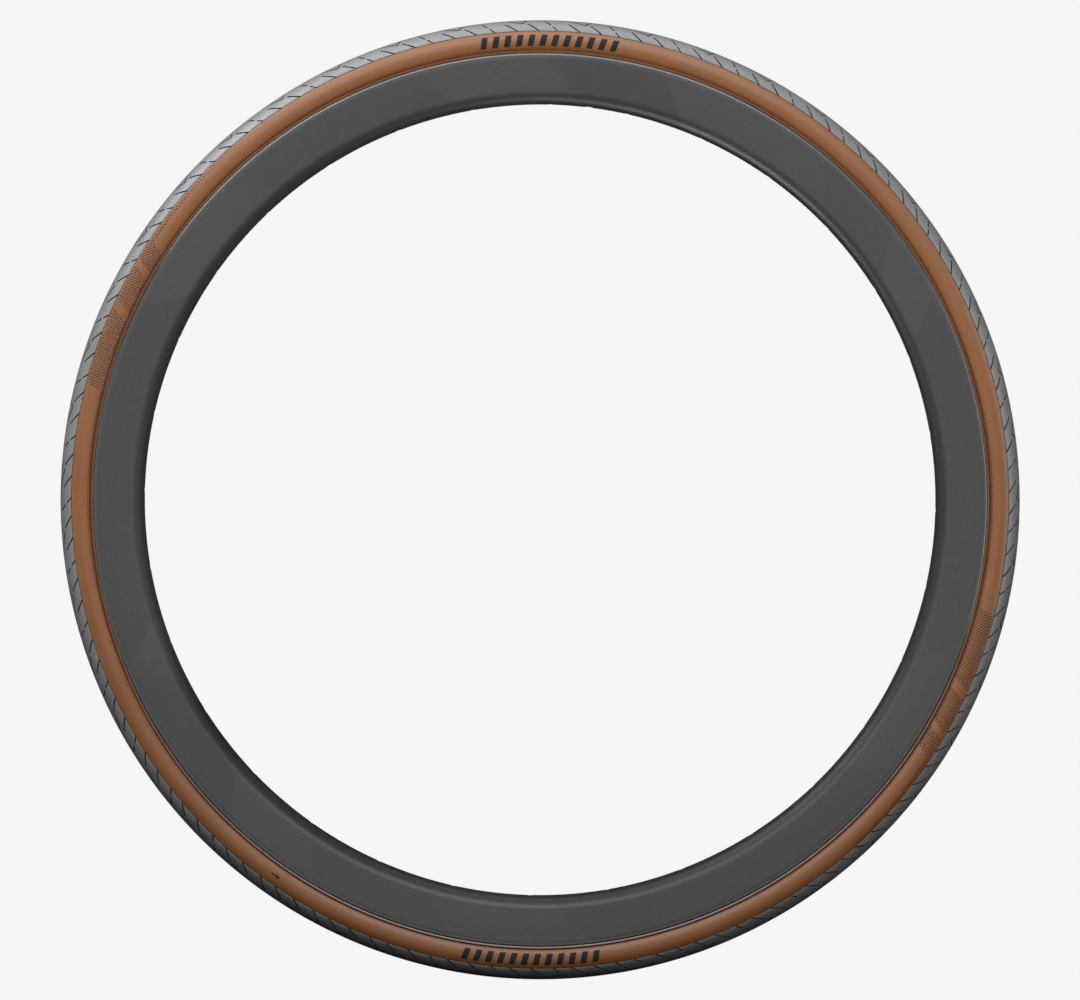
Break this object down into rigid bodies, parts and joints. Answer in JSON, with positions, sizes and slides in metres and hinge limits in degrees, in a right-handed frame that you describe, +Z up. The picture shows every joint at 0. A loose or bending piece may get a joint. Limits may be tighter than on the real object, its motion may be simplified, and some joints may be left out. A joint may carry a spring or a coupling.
{
  "type": "bicycle tire",
  "caption": "Road bicycle tire with a slick siped tread and tan sidewalls, seated on its deep rim, which is bare of spokes and hub.",
  "frame": {"origin": "centre of the wheel, on its axis and mid-plane", "axes": "+Y along the wheel's axis towards its right side, +Z up, rolls towards -X"},
  "size_m": [0.6778, 0.0282, 0.6779],
  "materials": {
    "tread_rubber": "matt grey-black moulded rubber",
    "sidewall_rubber": "satin tan rubber",
    "base_rubber": "matt black rubber",
    "liner_rubber": "smooth black butyl rubber",
    "belt_fabric": "rubbered aramid weave",
    "casing_fabric": "rubbered nylon ply",
    "bead_fibre": "twisted aramid fibre",
    "printed_ink": "dull dark print",
    "rim_laminate": "satin carbon-fibre laminate",
    "rim_tape": "thin clear yellowish tape"
  },
  "bodies": {
    "rim": {"rim_shell": "rim_laminate", "rim_bed": "rim_laminate", "flange_hoop_left": "rim_laminate", "flange_hoop_right": "rim_laminate", "rim_tape": "rim_tape", "spoke_hole_patches": "rim_laminate", "valve_hole_patch": "rim_laminate"},
    "tire": {"tread_cap": "tread_rubber", "tread_base": "base_rubber", "puncture_belt": "belt_fabric", "casing_ply": "casing_fabric", "inner_liner": "liner_rubber", "bead_core_left": "bead_fibre", "bead_core_right": "bead_fibre", "bead_wrap_left": "bead_fibre", "bead_wrap_right": "bead_fibre", "bead_filler_left": "base_rubber", "bead_filler_right": "base_rubber", "chafer_left": "sidewall_rubber", "chafer_right": "sidewall_rubber", "sidewall_left": "sidewall_rubber", "sidewall_right": "sidewall_rubber", "label_bars_left": "printed_ink", "label_bars_right": "printed_ink", "direction_arrow_left": "printed_ink", "direction_arrow_right": "printed_ink"}
  },
  "joints": [
    {"name": "tire_turn", "type": "hinge", "parent": "rim", "child": "tire", "pos_m": [0, 0, 0], "axis": [0, 1, 0], "continuous": true}
  ]
}
